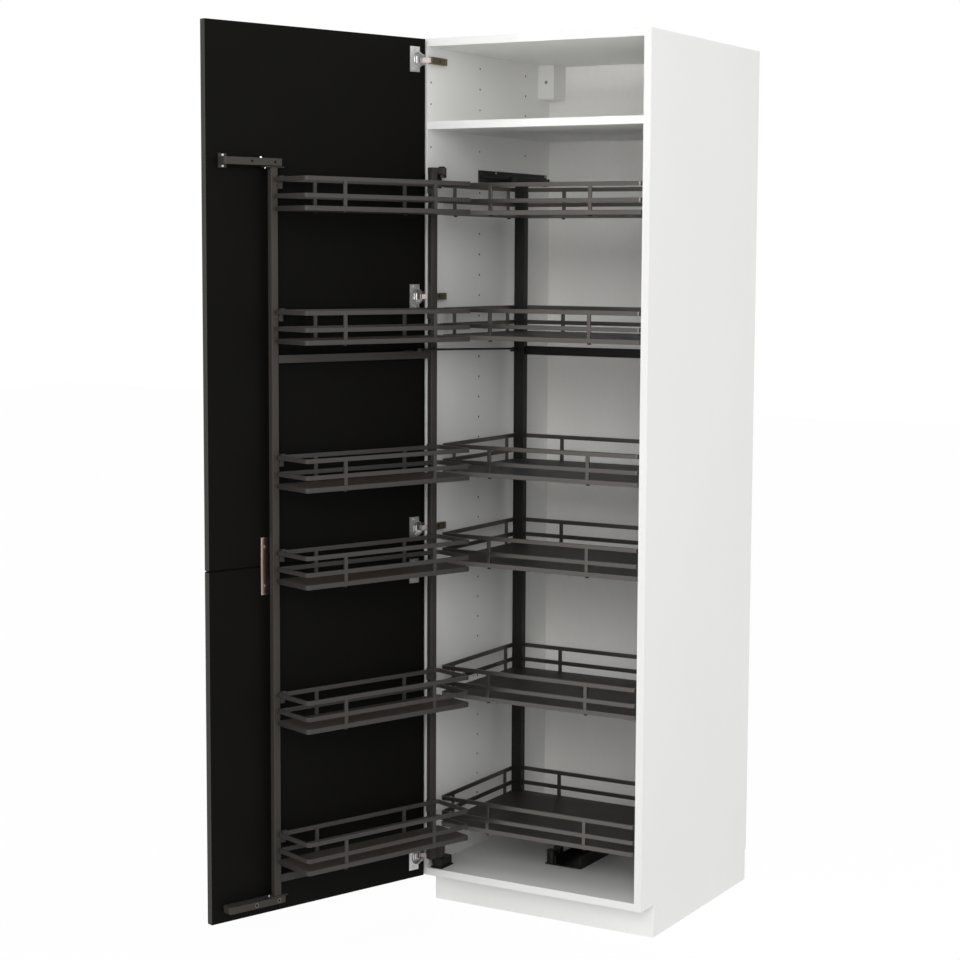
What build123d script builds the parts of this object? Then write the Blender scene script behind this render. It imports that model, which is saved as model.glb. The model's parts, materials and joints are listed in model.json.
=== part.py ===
from build123d import *
from math import atan2, degrees, hypot
import os

# Tall larder cabinet with a hinged two-panel door, a rack of shelves that swings with the door
# and a second rack that runs forward on the cabinet floor. Millimetres, +Z up, front towards -Y.
# The origin lies on the floor, under the middle of the front plinth board.
# The door is modelled fully open, which is the rest pose.

# Carcass
cabinet_width = 600
cabinet_depth = 600
carcass_height = 2000
board = 18
back_board = 10
shelf_setback = 2

# Plinth and legs
plinth_height = 80
plinth_board = 16
plinth_recess = 70
plinth_side_recess = 2
leg_clearance = 9
leg_setback = 27
leg_foot_radius = 24
leg_foot_height = 10
leg_stem_radius = 13
leg_socket_size = 56
leg_socket_height = 12
clip_height = 14
clip_width = 22
clip_wall = 6

# Rows of holes for fittings in the side panels
hole_pitch = 50
hole_radius = 2.5
hole_depth = 12
hole_first_column = 15
hole_column_spacing = 224
hole_columns = 3
rows_above_shelf = 3
fixing_clearance = 0.05
fixing_length = 20

# Corner brackets that hold the cabinet to a wall
hanger_width = 46
hanger_depth = 62
hanger_height = 86
hanger_hole_radius = 4

# Door
door_board = 18
door_edge_round = 1.5
door_gap = 3
door_standoff = 2
lower_front_height = 800
open_angle = 110
hinge_axis_inset = 5.5
hinge_axis_depth = 10

# Concealed hinges
cup_radius = 17.5
cup_depth = 12
cup_wall = 1.5
cup_inset = 22.5
flange_offset = 9.5
flange_width = 28
flange_length = 58
flange_thickness = 2
hinge_plate_thickness = 3
hinge_plate_length = 36
hinge_plate_setback = 22
arm_thickness = 10
arm_height = 16
arm_length = 66
arm_screw_setback = 50
link_thickness = 4
link_height = 12
link_root = 2
hinge_eye_radius = 3.5
hinge_pin_radius = 2
hinge_ear_wall = 2
hinge_ear_height = 6
hinge_gap = 0.5
screw_head_radius = 4
screw_head_height = 1.5
screw_head_inset = 6

# Plate that joins the two door panels, placed from the free edge of the door
joiner_width = 19
joiner_height = 130
joiner_thickness = 3
joiner_bevel = 2
joiner_inset = 154
joiner_screw_spacing = 44

# Guides on the door for the swinging rack, placed from the free edge of the door
guide_inset = 31
guide_length = 147
guide_height = 16
guide_end_round = 6
guide_lip = 2.3
guide_gap = 2
guide_slot_width = 9
guide_slot_depth = 10
guide_slot_margin = 14
guide_flange_width = 20
guide_flange_height = 31
guide_flange_thickness = 3
guide_screw_radius = 3
guide_bolt_inset = 101
guide_bolt_radius = 4.5
guide_bolt_height = 3
guide_hole_radius = 3
guide_hole_spacing = 60

# Pivot of the swinging rack
rack_axis_clearance = 13
rack_axis_setback = 22
pivot_radius = 5
pivot_clearance = 0.05
pivot_face_gap = 0.5
pivot_arm_radius = 11
pivot_arm_width = 16
pivot_top_thickness = 15
pivot_foot_thickness = 24
pivot_lug_thickness = 7
pivot_plate_thickness = 3
pivot_plate_height = 46
pivot_plate_length = 55
pivot_plate_setback = 5
pivot_head_radius = 8
pivot_head_height = 3
floor_block_width = 26
floor_block_length = 47
floor_block_height = 24
floor_block_lead = 14
floor_block_flange = 3

# Swinging rack, placed from its pivot axis
post_width = 18
post_depth = 16
post_wall = 1.5
post_foot_clearance = 28
post_overrun = 20
hinge_post_reach = 24
outer_post_inset = 167
cross_bar_height = 18
cross_bar_thickness = 8
cross_bar_drop = 44
slider_thickness = 2
slider_length = 48
slider_width = 22

# Shelf baskets of both racks
first_tray_clearance = 100
rack_headroom = 200
tray_shares = (0, 0.218, 0.437, 0.5825, 0.802, 1)
bar_trays = (0, 4)
tray_thickness = 11
basket_height = 75
rail_height = 10
rail_thickness = 5
middle_rail_level = 28
upright_width = 9
corner_radius = 9
door_basket_overhang = 5
door_basket_depth = 121
door_upright_offset = 125
hook_thickness = 2.5
hook_width = 12
hook_drop = 26
hook_rail_gap = 0.3

# Rack that runs in and out on the cabinet floor
inner_gap_left = 24
inner_gap_right = 14
inner_setback = 25
inner_basket_depth = 363
inner_upright_offset = 131
inner_side_upright_inset = 55
inner_post_width = 28
inner_post_depth = 20
inner_post_overhang = 2
back_bar_drop = 49
back_bar_height = 22
back_bar_thickness = 8
foot_beam_clearance = 24
foot_beam_height = 28
runner_clearance = 0.4
runner_length = 80
channel_width = 73
channel_wall = 4
channel_height = 29
channel_setback = 172
channel_offset = 15.5
channel_end_gap = 3
stop_radius = 12
stop_height = 34
stop_gap = 2
stop_spacing = 34
stop_plate_thickness = 3
top_guide_setback = 231
top_guide_end_gap = 21
top_guide_height = 29
top_guide_thickness = 4
top_guide_drop = 10
top_bar_width = 9
top_bar_height = 8
fork_clearance = 0.4
fork_wall = 4
fork_length = 26

# Rod that ties the two racks together
rod_radius = 2.5
rod_eye_radius = 7
rod_front_reach = 109
rod_front_standoff = 56
rod_rear_inset = 5
rod_rear_gap = 12
rod_drop = 14
rod_pin_radius = 3
rod_pin_overrun = 2
rod_lug_thickness = 4
rod_lug_radius = 8
rod_bracket_width = 16
rod_bracket_thickness = 3

os.makedirs("parts", exist_ok=True)

# Planes of the carcass
left = -cabinet_width / 2
right = cabinet_width / 2
inner_left = left + board
inner_right = right - board
front = -(plinth_recess + plinth_board / 2)
back = front + cabinet_depth
inner_back = back - back_board
bottom = plinth_height
top = bottom + carcass_height
floor_level = bottom + board
ceiling_level = top - board

# Levels of the holes, shelf, door seam and hinges
row_levels = [bottom + hole_pitch * row for row in range(1, int(carcass_height / hole_pitch))]
column_places = [front + hole_first_column + hole_column_spacing * n for n in range(hole_columns)]
shelf_middle = row_levels[-1] - hole_pitch * rows_above_shelf
shelf_underside = shelf_middle - board / 2
seam = bottom + lower_front_height
seam_hinge = seam + hole_pitch
high_hinge = top - hole_pitch
middle_hinge = (seam_hinge + high_hinge) / 2
hinge_levels = [bottom + hole_pitch, seam - hole_pitch, seam_hinge, middle_hinge, high_hinge]

# Levels of both racks
first_tray = floor_level + first_tray_clearance
last_tray = shelf_underside - rack_headroom
tray_levels = [first_tray + (last_tray - first_tray) * share for share in tray_shares]
post_foot = floor_level + post_foot_clearance
post_top = last_tray + basket_height + post_overrun
guide_top_level = post_top + slider_thickness + guide_gap
guide_foot_level = post_foot - slider_thickness - guide_gap - guide_height
bar_levels = [tray_levels[n] - cross_bar_drop for n in bar_trays]

# Open door: its local origin is the hinge edge, on the inner face
door_width = cabinet_width - door_gap
door_axis = Vector(left + door_gap / 2 + hinge_axis_inset, front - door_standoff - hinge_axis_depth)
door_pose = Pos(door_axis) * Rot(0, 0, -open_angle) * Pos(-hinge_axis_inset, hinge_axis_depth)

# Open swinging rack: its local origin is its pivot axis, and its posts stand along the door
arm_face = inner_left + hinge_plate_thickness + arm_thickness
rack_axis = Vector(arm_face + rack_axis_clearance, front + rack_axis_setback)
rack_pose = Pos(rack_axis) * Rot(0, 0, -open_angle)
axis_on_door = (door_pose.inverse() * Pos(rack_axis)).position
hinge_post_end = hinge_post_reach + post_width
outer_post_start = door_width - outer_post_inset - axis_on_door.X
post_middle = post_depth / 2

# Guides on the door
guide_end = door_width - guide_inset
guide_start = guide_end - guide_length
guide_middle = axis_on_door.Y + post_middle
guide_depth = guide_middle + guide_slot_width / 2 + guide_lip

# Running rack
inner_x = inner_left + inner_gap_left
inner_width = inner_right - inner_gap_right - inner_x
inner_front = front + inner_setback
inner_rear = inner_front + inner_basket_depth
inner_post_front = inner_rear + inner_post_overhang - inner_post_depth
inner_post_middle = inner_post_front + inner_post_depth / 2
foot_beam_level = floor_level + foot_beam_clearance
channel_x0 = channel_offset - channel_width / 2
channel_x1 = channel_offset + channel_width / 2
top_guide_low = post_top - top_guide_drop
top_bar_low = top_guide_low + (top_guide_height - top_bar_height) / 2
top_bar_face = inner_left + top_guide_thickness + top_bar_width

# Ends of the tie rod
rod_bracket_level = bar_levels[1] + cross_bar_height
rod_front_level = rod_bracket_level + rod_bracket_thickness + pivot_face_gap + rod_radius
rod_front = (rack_pose * Pos(rod_front_reach, rod_front_standoff, rod_front_level)).position
rod_rear = Vector(inner_x + rod_rear_inset, inner_post_front - rod_rear_gap, rod_front_level - rod_drop)


def block(x0, x1, y0, y1, z0, z1):
    middle = Pos((x0 + x1) / 2, (y0 + y1) / 2, (z0 + z1) / 2)
    return middle * Box(x1 - x0, y1 - y0, z1 - z0)


def upright(x, y, radius, z0, z1):
    return Pos(x, y, (z0 + z1) / 2) * Cylinder(radius, z1 - z0)


def across(x, y, z, radius, length):
    """Round bar along X, from x towards +X."""
    return Pos(x + length / 2, y, z) * Rot(0, 90, 0) * Cylinder(radius, length)


def inward(x, y, z, radius, length):
    """Round bar along Y, from y towards +Y."""
    return Pos(x, y + length / 2, z) * Rot(90, 0, 0) * Cylinder(radius, length)


def save(name, *shapes, pose=Pos(0, 0, 0)):
    """Write one node; several shapes become a group of separate solids."""
    placed = [pose * shape for shape in shapes]
    node = placed[0] if len(placed) == 1 else Compound(children=placed)
    export_step(node, "parts/" + name + ".step")


def side_panel(x0, hole_start):
    panel = block(x0, x0 + board, front, back, bottom, top)
    holes = [across(hole_start, y, z, hole_radius, hole_depth) for y in column_places for z in row_levels]
    return panel - holes


def shelf_pins(radius):
    """Bars at the four fixing points of the shelf, half in the side panels."""
    half = fixing_length / 2
    return [across(face - half, y, shelf_middle, radius, fixing_length)
            for face in (inner_left, inner_right) for y in (column_places[0], column_places[-1])]


def hanger_starts():
    return (inner_left, inner_right - hanger_width)


def wall_holes():
    y = inner_back - hanger_depth
    z = ceiling_level - hanger_height / 2
    return [inward(x0 + hanger_width / 2, y, z, hanger_hole_radius, hanger_depth + back_board)
            for x0 in hanger_starts()]


def make_carcass():
    save("left_side_panel", side_panel(left, inner_left - hole_depth))
    save("right_side_panel", side_panel(inner_right, inner_right))
    save("top_panel", block(inner_left, inner_right, front, back, ceiling_level, top))
    save("bottom_panel", block(inner_left, inner_right, front, back, bottom, floor_level))
    back_panel = block(inner_left, inner_right, inner_back, back, floor_level, ceiling_level)
    save("back_panel", back_panel - wall_holes())

    shelf = block(inner_left, inner_right, front + shelf_setback, inner_back,
                  shelf_underside, shelf_underside + board)
    save("fixed_shelf", shelf - shelf_pins(hole_radius))
    save("shelf_fixings", *shelf_pins(hole_radius - fixing_clearance))

    hangers = [block(x0, x0 + hanger_width, inner_back - hanger_depth, inner_back,
                     ceiling_level - hanger_height, ceiling_level) - wall_holes() for x0 in hanger_starts()]
    save("hanging_brackets", *hangers)


def cabinet_leg(x, y):
    half = leg_socket_size / 2
    foot = upright(x, y, leg_foot_radius, 0, leg_foot_height)
    stem = upright(x, y, leg_stem_radius, 0, plinth_height)
    socket = block(x - half, x + half, y - half, y + half, plinth_height - leg_socket_height, plinth_height)
    return foot + stem + socket


def plinth_clip(x, y, tongue_x, tongue_y):
    """Ring on a leg with a tongue that reaches a plinth board; tongue values are (start, end)."""
    level = (leg_foot_height + plinth_height - leg_socket_height - clip_height) / 2
    ring = upright(x, y, leg_stem_radius + clip_wall, level, level + clip_height)
    clip = ring + block(*tongue_x, *tongue_y, level, level + clip_height)
    return clip - upright(x, y, leg_stem_radius, level, level + clip_height)


def make_base():
    plinth_front = front + plinth_recess
    plinth_rear = plinth_front + plinth_board
    plinth_end = right - plinth_side_recess
    plinth_inside = plinth_end - plinth_board
    save("front_plinth", block(-plinth_end, plinth_end, plinth_front, plinth_rear, 0, plinth_height))
    save("side_plinths", *[block(x0, x0 + plinth_board, plinth_rear, back, 0, plinth_height)
                           for x0 in (-plinth_end, plinth_inside)])

    half = leg_socket_size / 2
    leg_x = plinth_inside - leg_clearance - half
    front_y = plinth_rear + leg_setback + half
    rear_y = back - leg_setback - half
    save("cabinet_legs", *[cabinet_leg(x, y) for x in (-leg_x, leg_x) for y in (front_y, rear_y)])

    half_clip = clip_width / 2
    front_clips = [plinth_clip(x, front_y, (x - half_clip, x + half_clip), (plinth_rear, front_y))
                   for x in (-leg_x, leg_x)]
    rear_band = (rear_y - half_clip, rear_y + half_clip)
    save("plinth_clips", *front_clips,
         plinth_clip(-leg_x, rear_y, (-plinth_inside, -leg_x), rear_band),
         plinth_clip(leg_x, rear_y, (leg_x, plinth_inside), rear_band))


def hinge_plate(z):
    """Low plate that lies wholly under its arm, which hides the plate's screws."""
    y0 = front + hinge_plate_setback
    half = arm_height / 2
    return block(inner_left, inner_left + hinge_plate_thickness, y0, y0 + hinge_plate_length,
                 z - half, z + half)


ear_inner = link_height / 2 + hinge_gap
ear_outer = ear_inner + hinge_ear_height


def hinge_arm(z):
    """Arm on the side panel, with a link that reaches the hinge pin inside the door."""
    half = arm_height / 2
    half_link = link_height / 2
    arm = block(arm_face - arm_thickness, arm_face, front, front + arm_length, z - half, z + half)
    arm += across(arm_face, front + arm_screw_setback, z, screw_head_radius, screw_head_height)
    root_x = arm_face - arm_thickness / 2 - door_axis.X
    root_y = front + link_root - door_axis.Y
    link = block(0, hypot(root_x, root_y), -link_thickness / 2, link_thickness / 2,
                 z - half_link, z + half_link)
    arm += Pos(door_axis) * Rot(0, 0, degrees(atan2(root_y, root_x))) * link
    arm += upright(door_axis.X, door_axis.Y, hinge_eye_radius, z - half_link, z + half_link)
    return arm + upright(door_axis.X, door_axis.Y, hinge_pin_radius, z - ear_outer, z + ear_outer)


def hinge_ears(z):
    """Block round the hinge pin, before the link's notch and the pin's bore are cut."""
    half = hinge_pin_radius + hinge_ear_wall
    return block(hinge_axis_inset - half, hinge_axis_inset + half, -hinge_axis_depth - half, 0,
                 z - ear_outer, z + ear_outer)


def link_notch(z):
    """Space that the link sweeps in the edge of the door."""
    half = hinge_eye_radius + hinge_gap
    return block(-half, hinge_axis_inset + half, -hinge_axis_depth - half, flange_thickness,
                 z - ear_inner, z + ear_inner)


def hinge_cup(z):
    middle = cup_inset + flange_offset
    half = flange_length / 2
    cup = inward(cup_inset, -cup_depth, z, cup_radius, cup_depth) + hinge_ears(z)
    cup += block(middle - flange_width / 2, middle + flange_width / 2, 0, flange_thickness,
                 z - half, z + half)
    for dz in (screw_head_inset - half, half - screw_head_inset):
        cup += inward(middle, flange_thickness, z + dz, screw_head_radius, screw_head_height)
    cup -= inward(cup_inset, cup_wall - cup_depth, z, cup_radius - cup_wall, cup_depth + flange_thickness)
    cup -= link_notch(z)
    return cup - upright(hinge_axis_inset, -hinge_axis_depth, hinge_pin_radius + pivot_clearance,
                         z - ear_outer, z + ear_outer)


def make_hinges():
    save("hinge_plates", *[hinge_plate(z) for z in hinge_levels])
    save("hinge_arms", *[hinge_arm(z) for z in hinge_levels])
    save("hinge_cups", *[hinge_cup(z) for z in hinge_levels], pose=door_pose)


def door_panel(z0, z1):
    panel = block(0, door_width, -door_board, 0, z0, z1)
    panel = fillet(panel.edges(), door_edge_round)
    for z in hinge_levels:
        if z0 < z < z1:
            panel -= inward(cup_inset, -cup_depth, z, cup_radius, cup_depth)
            panel -= hinge_ears(z)
            panel -= link_notch(z)
    return panel


def door_guide(z0, slot_level):
    """Rail on the inner face of the door, with a slot towards the end of the outer post."""
    middle = z0 + guide_height / 2
    guide = block(guide_start, guide_end, 0, guide_depth, z0, z0 + guide_height)
    end_edges = guide.edges().filter_by(Axis.Z).sort_by(Axis.X)[-2:]
    guide = fillet(end_edges.sort_by(Axis.Y)[-1:], guide_end_round)
    guide -= block(guide_start + guide_slot_margin, guide_end - guide_slot_margin,
                   guide_middle - guide_slot_width / 2, guide_middle + guide_slot_width / 2,
                   slot_level, slot_level + guide_slot_depth)
    first_hole = guide_start + guide_slot_margin + guide_hole_radius
    for x in (first_hole, first_hole + guide_hole_spacing):
        guide -= inward(x, 0, middle, guide_hole_radius, guide_depth)
    return guide


def guide_flange(middle):
    """Plate at the free end of the upper guide, which takes its two screws."""
    half = guide_flange_height / 2
    return block(guide_end - guide_flange_width, guide_end, 0, guide_flange_thickness,
                 middle - half, middle + half)


def flange_screws(middle):
    offset = (guide_height + guide_flange_height) / 4
    x = guide_end - guide_flange_width / 2
    return [inward(x, guide_flange_thickness, z, guide_screw_radius, screw_head_height)
            for z in (middle - offset, middle + offset)]


def guide_bolt(level):
    """Bolt head on the side of a guide that faces away from the rack."""
    return upright(guide_end - guide_bolt_inset, guide_depth / 2, guide_bolt_radius,
                   level, level + guide_bolt_height)


def make_door():
    save("lower_door", door_panel(bottom + door_gap / 2, seam - door_gap / 2), pose=door_pose)
    save("upper_door", door_panel(seam + door_gap / 2, top - door_gap / 2), pose=door_pose)

    x0 = door_width - joiner_inset
    joiner = block(x0, x0 + joiner_width, 0, joiner_thickness,
                   seam - joiner_height / 2, seam + joiner_height / 2)
    outer_edges = joiner.faces().sort_by(Axis.Y)[-1].edges()
    save("door_joining_plate", chamfer(outer_edges, joiner_bevel), pose=door_pose)
    joiner_screws = [inward(x0 + joiner_width / 2, joiner_thickness, z, screw_head_radius, screw_head_height)
                     for z in (seam - joiner_screw_spacing, seam + joiner_screw_spacing)]

    foot_slot_level = guide_foot_level + guide_height - guide_slot_depth
    top_middle = guide_top_level + guide_height / 2
    top_guide = door_guide(guide_top_level, guide_top_level) + guide_flange(top_middle)
    save("top_door_guide", top_guide, pose=door_pose)
    save("bottom_door_guide", door_guide(guide_foot_level, foot_slot_level), pose=door_pose)
    bolts = [guide_bolt(guide_top_level + guide_height), guide_bolt(guide_foot_level - guide_bolt_height)]
    save("door_screws", *joiner_screws, *flange_screws(top_middle), *bolts, pose=door_pose)


def make_rack_pivots():
    """Pins that carry the swinging rack: one on the left side panel, one on the cabinet floor."""
    x, y = rack_axis.X, rack_axis.Y
    lug_top = post_top - pivot_face_gap
    lug_foot = lug_top - pivot_lug_thickness
    plate_y0 = front + pivot_plate_setback
    pivot = block(inner_left, inner_left + pivot_plate_thickness, plate_y0, plate_y0 + pivot_plate_length,
                  lug_foot - pivot_plate_height / 2, lug_foot + pivot_plate_height / 2)
    pivot += block(inner_left, x, y - pivot_arm_radius, y + pivot_arm_radius, lug_foot, lug_top)
    pivot += upright(x, y, pivot_arm_radius, lug_foot, lug_top)
    head_foot = post_top + pivot_top_thickness + pivot_face_gap
    pivot += upright(x, y, pivot_radius, lug_foot, head_foot)
    pivot += upright(x, y, pivot_head_radius, head_foot, head_foot + pivot_head_height)
    save("rack_top_pivot", pivot)

    grown = floor_block_flange
    x0, x1 = x - floor_block_width / 2, x + floor_block_width / 2
    y0 = y - floor_block_lead
    y1 = y0 + floor_block_length
    foot = block(x0, x1, y0, y1, floor_level, floor_level + floor_block_height)
    foot += block(x0 - grown, x1 + grown, y0 - grown, y1 + grown, floor_level, floor_level + grown)
    foot += upright(x, y, pivot_arm_radius, floor_level, post_foot - pivot_face_gap)
    foot += upright(x, y, pivot_radius, floor_level, post_foot + pivot_foot_thickness)
    save("rack_floor_pivot", foot)


def tube(x0, y0, z0, z1, width, depth):
    x1, y1 = x0 + width, y0 + depth
    hollow = block(x0 + post_wall, x1 - post_wall, y0 + post_wall, y1 - post_wall, z0, z1)
    return block(x0, x1, y0, y1, z0, z1) - hollow


def pivot_arm(z0, z1):
    """Arm from the hinge post to the pivot axis, with a bore for the pin."""
    arm = block(hinge_post_reach, hinge_post_end, 0, post_depth, z0, z1)
    arm += upright(0, 0, pivot_arm_radius, z0, z1)
    post_x = hinge_post_reach + post_width / 2
    reach = hypot(post_x, post_middle)
    turn = degrees(atan2(post_middle, post_x))
    arm += Rot(0, 0, turn) * block(0, reach, -pivot_arm_width / 2, pivot_arm_width / 2, z0, z1)
    return arm - upright(0, 0, pivot_radius + pivot_clearance, z0, z1)


def slider(z0):
    x0 = outer_post_start + (post_width - slider_length) / 2
    return block(x0, x0 + slider_length, post_middle - slider_width / 2, post_middle + slider_width / 2,
                 z0, z0 + slider_thickness)


def cross_bar(z0):
    half = cross_bar_thickness / 2
    return block(hinge_post_end, outer_post_start, post_middle - half, post_middle + half,
                 z0, z0 + cross_bar_height)


def rod_bracket():
    """Flat arm on the middle bar that carries the front end of the tie rod."""
    z0, z1 = rod_bracket_level, rod_bracket_level + rod_bracket_thickness
    half = rod_bracket_width / 2
    arm = block(rod_front_reach - half, rod_front_reach + half, post_middle - cross_bar_thickness / 2,
                rod_front_standoff, z0, z1)
    return arm + upright(rod_front_reach, rod_front_standoff, half, z0, z1)


def basket_hook(level, x0):
    """Clip on the face of a post that hangs over the rear top rail of a basket."""
    x1 = x0 + hook_width
    under = level + basket_height + hook_rail_gap
    rear = post_depth - hook_thickness
    lip = post_depth + rail_thickness + hook_rail_gap
    hook = block(x0, x1, rear, lip + hook_thickness, under, under + hook_thickness)
    hook += block(x0, x1, rear, post_depth - hook_rail_gap, under - hook_drop, under)
    return hook + block(x0, x1, lip, lip + hook_thickness, under - rail_height, under)


def slab(x0, y0, width, depth, z0, height, radius):
    outline = RectangleRounded(width, depth, radius)
    return Pos(x0 + width / 2, y0 + depth / 2, z0) * extrude(outline, height)


def hoop(x0, y0, width, depth, z0):
    inner_size = (width - 2 * rail_thickness, depth - 2 * rail_thickness)
    outside = slab(x0, y0, width, depth, z0, rail_height, corner_radius)
    return outside - slab(x0 + rail_thickness, y0 + rail_thickness, *inner_size, z0, rail_height,
                          corner_radius - rail_thickness)


def basket_frame(x0, y0, width, depth, level, upright_offset, side_places):
    """Two rails round a tray, tied by flat uprights that stand on the tray."""
    base = level + tray_thickness
    rim = level + basket_height
    half = upright_width / 2
    frame = hoop(x0, y0, width, depth, rim - rail_height)
    frame += hoop(x0, y0, width, depth, level + middle_rail_level)
    middle = x0 + width / 2
    for x in (middle - upright_offset, middle + upright_offset):
        for y in (y0, y0 + depth - rail_thickness):
            frame += block(x - half, x + half, y, y + rail_thickness, base, rim)
    for y in side_places:
        for x in (x0, x0 + width - rail_thickness):
            frame += block(x, x + rail_thickness, y - half, y + half, base, rim)
    return frame


def basket_tray(x0, y0, width, depth, level):
    return slab(x0, y0, width, depth, level, tray_thickness, corner_radius)


def make_swinging_rack():
    arm_top = post_foot + pivot_foot_thickness
    outer_post = tube(outer_post_start, 0, post_foot, post_top, post_width, post_depth)
    save("outer_post", outer_post, pose=rack_pose)
    save("hinge_post", tube(hinge_post_reach, 0, arm_top, post_top, post_width, post_depth), pose=rack_pose)
    save("rack_cross_bars", *[cross_bar(z) for z in bar_levels], rod_bracket(), pose=rack_pose)
    save("rack_sliders", slider(post_top), slider(post_foot - slider_thickness), pose=rack_pose)
    top_arm = pivot_arm(post_top, post_top + pivot_top_thickness)
    save("rack_pivot_arms", pivot_arm(post_foot, arm_top), top_arm, pose=rack_pose)
    hook_starts = (hinge_post_end, outer_post_start - hook_width)
    save("basket_hooks", *[basket_hook(z, x0) for z in tray_levels for x0 in hook_starts], pose=rack_pose)

    x0 = hinge_post_reach - door_basket_overhang
    width = outer_post_start + post_width / 2 - x0
    size = (x0, post_depth, width, door_basket_depth)
    for number, level in enumerate(tray_levels, 1):
        save("door_basket_%d" % number, basket_frame(*size, level, door_upright_offset, ()), pose=rack_pose)
        save("door_tray_%d" % number, basket_tray(*size, level), pose=rack_pose)


def rod_lug():
    """Lug on the front of the inner post, with the pin for the rear end of the tie rod."""
    lug_top = rod_rear.Z - rod_radius - pivot_face_gap
    lug_foot = lug_top - rod_lug_thickness
    pin_top = rod_rear.Z + rod_radius + rod_pin_overrun
    lug = block(inner_x, rod_rear.X + rod_lug_radius, rod_rear.Y, inner_post_front, lug_foot, lug_top)
    lug += upright(rod_rear.X, rod_rear.Y, rod_lug_radius, lug_foot, lug_top)
    return lug + upright(rod_rear.X, rod_rear.Y, rod_pin_radius, lug_foot, pin_top)


def inner_post():
    """Tube with the rod lug, and a fork at its top that runs along the guide on the side panel."""
    fork_low = top_guide_low + fork_clearance
    fork_x0 = top_bar_face + fork_clearance
    fork_y0, fork_y1 = inner_post_middle - fork_length / 2, inner_post_middle + fork_length / 2
    column = tube(inner_x, inner_post_front, foot_beam_level, fork_low, inner_post_width, inner_post_depth)
    cap = block(fork_x0, inner_x + inner_post_width, fork_y0, fork_y1, fork_low, fork_low + fork_wall)
    fork = block(fork_x0, fork_x0 + fork_wall, fork_y0, fork_y1, fork_low, top_bar_low + top_bar_height)
    return column + cap + fork + rod_lug()


def inner_foot():
    """Beam from the inner post to a runner that slides in the floor channel."""
    runner_x0 = channel_x0 + channel_wall + runner_clearance
    runner_x1 = channel_x1 - channel_wall - runner_clearance
    beam = block(inner_x + inner_post_width, runner_x1,
                 inner_post_front, inner_post_front + inner_post_depth,
                 foot_beam_level, foot_beam_level + foot_beam_height)
    half = runner_length / 2
    return beam + block(runner_x0, runner_x1, inner_post_middle - half, inner_post_middle + half,
                        floor_level + channel_wall + runner_clearance, foot_beam_level)


def make_running_rack():
    save("inner_post", inner_post())
    save("inner_foot", inner_foot())
    bar_level = tray_levels[bar_trays[-1]] - back_bar_drop
    save("inner_back_bar", block(inner_x + inner_post_width, inner_x + inner_width,
                                 inner_rear - back_bar_thickness, inner_rear,
                                 bar_level, bar_level + back_bar_height))

    notch = block(inner_x, inner_x + inner_post_width, inner_post_front, inner_rear, floor_level, top)
    sides = (inner_front + inner_side_upright_inset, inner_rear - inner_side_upright_inset)
    size = (inner_x, inner_front, inner_width, inner_basket_depth)
    for number, level in enumerate(tray_levels, 1):
        frame = basket_frame(*size, level, inner_upright_offset, sides)
        save("inner_basket_%d" % number, frame - notch)
        save("inner_tray_%d" % number, basket_tray(*size, level) - notch)


def make_runners():
    """Channel and stops on the cabinet floor, and the upper guide on the left side panel."""
    y0 = front + channel_setback
    y1 = inner_back - channel_end_gap
    low_top = foot_beam_level - runner_clearance
    channel = block(channel_x0, channel_x1, y0, y1, floor_level, floor_level + channel_wall)
    channel += block(channel_x1 - channel_wall, channel_x1, y0, y1,
                     floor_level, floor_level + channel_height)
    channel += block(channel_x0, channel_x0 + channel_wall, y0, y1, floor_level, low_top)
    save("floor_channel", channel)

    stop_x = channel_x0 - stop_gap - stop_radius
    first_stop = y0 + stop_radius
    stops = block(stop_x - stop_radius, channel_x0, y0, first_stop + stop_spacing + stop_radius,
                  floor_level, floor_level + stop_plate_thickness)
    for y in (first_stop, first_stop + stop_spacing):
        stops += upright(stop_x, y, stop_radius, floor_level, floor_level + stop_height)
    save("floor_stops", stops)

    guide_y0, guide_y1 = front + top_guide_setback, inner_back - top_guide_end_gap
    guide = block(inner_left, inner_left + top_guide_thickness, guide_y0, guide_y1,
                  top_guide_low, top_guide_low + top_guide_height)
    guide += block(inner_left, top_bar_face, guide_y0, guide_y1, top_bar_low, top_bar_low + top_bar_height)
    save("inner_top_guide", guide)


def rod_eye(place):
    return upright(place.X, place.Y, rod_eye_radius, place.Z - rod_radius, place.Z + rod_radius)


def make_tie_rod():
    span = rod_rear - rod_front
    rod = extrude(Plane(origin=rod_front, z_dir=span) * Circle(rod_radius), span.length)
    rod += rod_eye(rod_front)
    rod += rod_eye(rod_rear)
    bore = upright(rod_rear.X, rod_rear.Y, rod_pin_radius + pivot_clearance,
                   rod_rear.Z - 2 * rod_radius, rod_rear.Z + 2 * rod_radius)
    save("tie_rod", rod - bore)


make_carcass()
make_base()
make_hinges()
make_door()
make_rack_pivots()
make_swinging_rack()
make_running_rack()
make_runners()
make_tie_rod()
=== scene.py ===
import json
import math
import bmesh
import bpy
from mathutils import Matrix, Vector

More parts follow.
